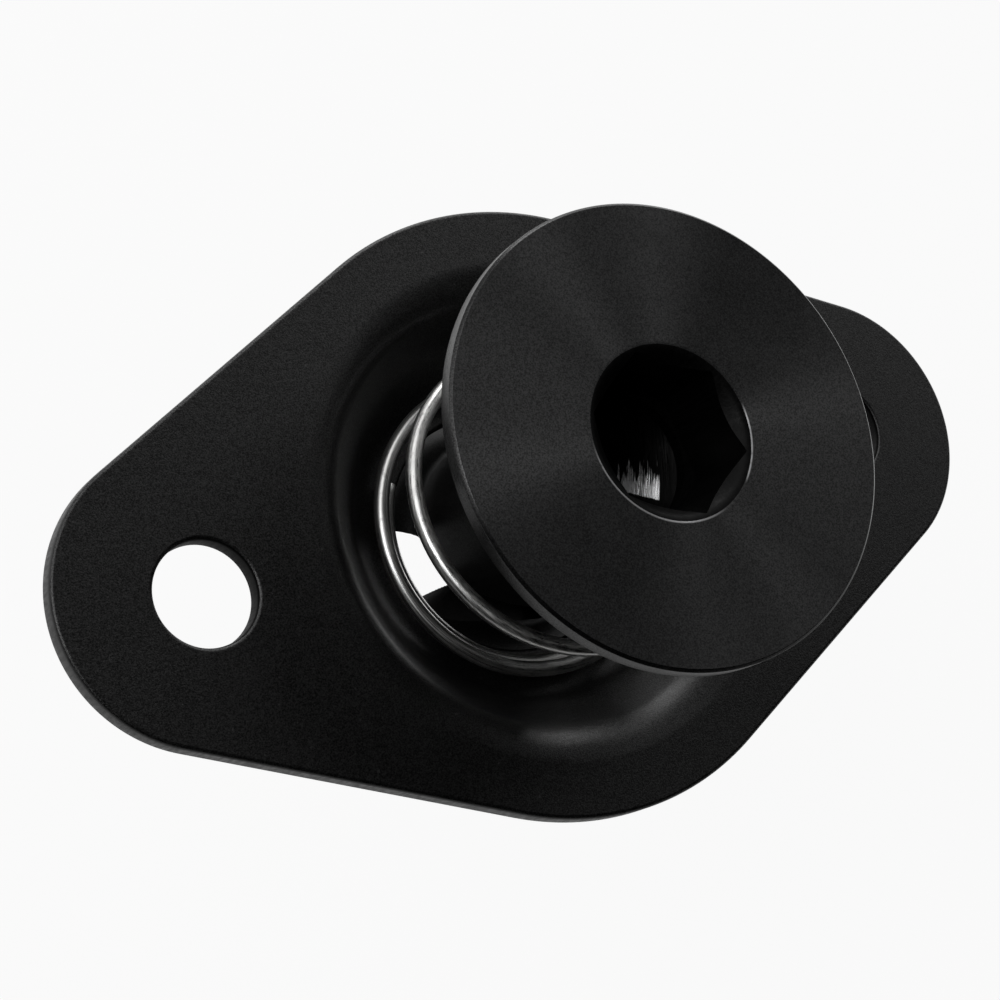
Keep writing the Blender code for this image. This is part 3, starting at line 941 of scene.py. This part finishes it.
def bright_wire():
    """Drawn spring wire: bright steel with fine scratches along it and a few dull spots."""
    material, nodes, shader = new_material("bright_wire")
    place = nodes.position()
    x, y, z = nodes.separate(place)
    radius = nodes.from_axis(x, y)
    angle = nodes.math("ARCTAN2", y, x)
    drawn = nodes.combine(nodes.times(radius, 9.0), nodes.times(z, 9.0), nodes.times(angle, 0.8))
    scratches = nodes.noise(drawn, 1.0, detail=3.0, roughness=0.7)
    spots = nodes.noise(place, 2.2, detail=3.0)
    colour = nodes.mix_colour(nodes.ramp(scratches, 0.35, 0.65), *WIRE_STEEL)
    colour = nodes.mix_colour(nodes.ramp(spots, 0.58, 0.72, 0.0, 0.35), colour, WIRE_SPOT)
    nodes.link(colour, shader.inputs["Base Color"])
    shader.inputs["Metallic"].default_value = 1.0
    nodes.link(nodes.ramp(scratches, 0.3, 0.7, 0.26, 0.40), shader.inputs["Roughness"])
    nodes.link(nodes.bump(scratches, 0.00001, 0.5), shader.inputs["Normal"])
    return material


def stud_finish(face):
    """The finish of one face of the stud: the dull coat, darker as painted shade, in the socket,
    the bore and the cam slots, a painted highlight of bright streaks on the drilled bottom, and
    what the lathe left elsewhere, darker on the shank as painted shade."""
    place = face.center
    radius = math.hypot(place.x, place.y)
    radial = Vector((place.x, place.y, 0.0)).normalized()
    outward = face.normal.dot(radial)
    sideways = abs(Vector((-radial.y, radial.x, 0.0)).dot(face.normal))
    below_head = place.z < HEAD_BACK - FACE_MARGIN
    above_bore = place.z > BORE_DEPTH + BORE_RADIUS
    on_mouth = radius > HEX_ACROSS_FLATS / 2 - FACE_MARGIN and face.normal.z > 0.5
    in_socket = radius < HEX_MOUTH_RADIUS and above_bore and not on_mouth
    in_bore = outward < -0.2 and radius < SHANK_RADIUS
    slot_wall = sideways > 0.2 or radius < SHANK_RADIUS - FACE_MARGIN
    in_slot = slot_wall and below_head and radius < FLARE_RADIUS and outward < 0.55
    if in_socket and place.z < DRILLED_BOTTOM:
        return GLINT_BOTTOM
    if in_socket or in_bore or in_slot:
        return CUT
    if radius > HEAD_RADIUS - FACE_CHAMFER - EDGE_ROUND and face.normal.z < RIM_COSINE:
        return RIM
    return SHANK if below_head else TURNED


def plate_finish(face):
    """The finish of one face of the plate: its sheet, its outer edge or a wall of a hole."""
    from_axis = math.hypot(face.center.x, face.center.y)
    from_hole = math.hypot(abs(face.center.x) - HOLE_SPACING / 2, face.center.y)
    in_fixing_hole = from_hole < FIXING_HOLE_RADIUS + DIE_ROLL
    in_stud_hole = from_axis < STUD_HOLE_RADIUS + DIE_ROLL
    if abs(face.normal.z) >= WALL_COSINE:
        return SHEET
    if in_fixing_hole or in_stud_hole:
        return HOLE_WALL
    return OUTER_EDGE if from_axis > DISH_RADIUS + PLATE_THICKNESS else SHEET


def paint(item, materials, finish_of):
    """Gives each face of a piece the material that its finish numbers."""
    item.data.materials.clear()
    for material in materials:
        item.data.materials.append(material)
    for face in item.data.polygons:
        face.material_index = finish_of(face)


# Stage


def build_floor():
    """A pale floor that the camera sees evenly lit and that still takes the object's shadow.
    In reflections it is dimmer in front of the object, as behind a studio's black flag."""
    bm = bmesh.new()
    half = FLOOR_SIZE / 2
    corners = [(-half, -half), (half, -half), (half, half), (-half, half)]
    bm.faces.new(add_ring(bm, corners, FLOOR_HEIGHT))
    floor = new_object("pale_floor", bm)
    material, nodes, shader = new_material("pale_floor")
    shader.inputs["Base Color"].default_value = FLOOR_COLOUR
    shader.inputs["Roughness"].default_value = 0.9
    path = nodes.add("ShaderNodeLightPath")
    x, y, z = nodes.separate(nodes.position())
    flag = nodes.ramp(nodes.towards(x, y, FLAG_SIDE), *FLAG_REACH, 1.0, FLAG_SHADE)
    mirrored = nodes.times(path.outputs["Is Glossy Ray"], flag)
    seen = nodes.math("MAXIMUM", path.outputs["Is Camera Ray"], mirrored)
    seen = nodes.math("MAXIMUM", seen, path.outputs["Is Transmission Ray"])
    glow = nodes.add("ShaderNodeEmission")
    glow.inputs["Strength"].default_value = 1.0
    mix = nodes.add("ShaderNodeMixShader")
    nodes.link(nodes.times(seen, FLOOR_GLOW), mix.inputs[0])
    nodes.link(shader.outputs[0], mix.inputs[1])
    nodes.link(glow.outputs[0], mix.inputs[2])
    nodes.link(mix.outputs[0], nodes.tree.nodes["Material Output"].inputs["Surface"])
    material.cycles.emission_sampling = "NONE"
    floor.data.materials.append(material)


def direction(azimuth, elevation):
    """Direction towards an azimuth and an elevation in degrees."""
    turn = math.radians(azimuth)
    rise = math.radians(elevation)
    level = math.cos(rise)
    return Vector((math.cos(turn) * level, math.sin(turn) * level, math.sin(rise)))


def soft_patch(nodes, toward, azimuth, elevation, radius):
    """1 in the middle of a patch of the studio, falling to 0 at its radius in degrees."""
    dot = nodes.add("ShaderNodeVectorMath", operation="DOT_PRODUCT")
    nodes.link(toward, dot.inputs[0])
    dot.inputs[1].default_value = direction(azimuth, elevation)
    edge = math.cos(math.radians(radius))
    middle = math.cos(math.radians(STUDIO_PATCH_MIDDLE))
    return nodes.ramp(dot.outputs["Value"], edge, middle)


def build_world():
    """White where the camera looks past the floor. Otherwise a dim studio with soft lights at
    the back on the right, and a weak low one at the front on the right."""
    world = bpy.data.worlds.new("studio")
    bpy.context.scene.world = world
    nodes = Nodes(world)
    background = nodes.tree.nodes["Background"]
    path = nodes.add("ShaderNodeLightPath")
    toward = nodes.add("ShaderNodeTexCoord").outputs["Generated"]
    studio = STUDIO_LEVEL
    for azimuth, elevation, radius, radiance in STUDIO_SOFT_LIGHTS:
        patch = soft_patch(nodes, toward, azimuth, elevation, radius)
        studio = nodes.plus(studio, nodes.times(patch, radiance))
    camera_ray = path.outputs["Is Camera Ray"]
    past_floor = nodes.math("MAXIMUM", camera_ray, path.outputs["Is Transmission Ray"])
    strength = nodes.math("MAXIMUM", past_floor, studio)
    nodes.link(strength, background.inputs["Strength"])


def build_softboxes():
    """Soft area lamps that look at the object from their directions."""
    for name, azimuth, elevation, distance, width, height, radiance in SOFTBOXES:
        lamp = bpy.data.lights.new(name, "AREA")
        lamp.shape = "RECTANGLE"
        lamp.size = width
        lamp.size_y = height
        lamp.energy = radiance * math.pi * width * height
        item = bpy.data.objects.new(name, lamp)
        bpy.context.scene.collection.objects.link(item)
        away = direction(azimuth, elevation)
        item.visible_camera = False
        item.location = Vector((0.0, 0.0, FLANGE_TOP)) + away * distance
        item.rotation_euler = away.to_track_quat("Z", "Y").to_euler()


def build_camera():
    """The photograph's camera, set upright and square from its solved right and up sides."""
    back = CAMERA_RIGHT.normalized().cross(CAMERA_UP).normalized()
    right = CAMERA_RIGHT.normalized()
    up = back.cross(right).normalized()
    data = bpy.data.cameras.new("photo_camera")
    data.sensor_width = CAMERA_SENSOR
    data.lens = CAMERA_LENS
    data.clip_start = CAMERA_CLIP_START
    data.clip_end = CAMERA_CLIP_END
    camera = bpy.data.objects.new("photo_camera", data)
    bpy.context.scene.collection.objects.link(camera)
    turn = Matrix((right, up, back)).transposed().to_4x4()
    turn.translation = CAMERA_PLACE
    camera.matrix_world = turn
    bpy.context.scene.camera = camera


def build_stage():
    bpy.context.scene.view_settings.view_transform = "Standard"
    build_camera()
    build_world()
    build_floor()
    build_softboxes()


def main():
    build_stage()
    steel = coated_steel()
    turned = turned_black("turned_black", level=1.0, roughness=0.45, stretch=0.9)
    # The shank's copy at a low level: its darker colour and weaker shine are painted shade under
    # the head.
    shaded_shank_coat = turned_black("shaded_shank_black", level=0.30, roughness=0.40, stretch=0.5)
    rim_coat = turned_black("rim_black", level=0.8, roughness=0.28, stretch=0.0)
    # The cut and hole coats are darker than the outer faces and edges: painted shade in the
    # recesses.
    shaded_socket_coat = shaded_cut_black("shaded_cut_black", gloss=0.20)
    shaded_hole_coat = shaded_cut_black("shaded_hole_black", gloss=0.15)
    wire = bright_wire()
    plate = build_plate()
    paint(plate, (steel, sheared_edge(), shaded_hole_coat), plate_finish)
    stud = build_stud()
    paint(stud, (turned, shaded_socket_coat, shade_and_glint_bottom(), shaded_shank_coat, rim_coat), stud_finish)
    spring = build_spring()
    spring.data.materials.append(wire)
    pieces = (
        (plate, "plate", "mounting_plate", "plate_black"),
        (stud, "stud", "quarter_turn_stud", "stud_black"),
        (spring, "spring", "ejector_spring", "spring_steel"),
    )
    for piece, body, node, slot in pieces:
        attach(piece, body)
        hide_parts(node)
    nodes = frame["nodes"]
    node_materials = (
        ("mounting_plate", steel),
        ("quarter_turn_stud", turned),
        ("ejector_spring", wire),
    )
    for name, material in node_materials:
        nodes[name].data.materials.clear()
        nodes[name].data.materials.append(material)
    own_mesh(spring)


main()
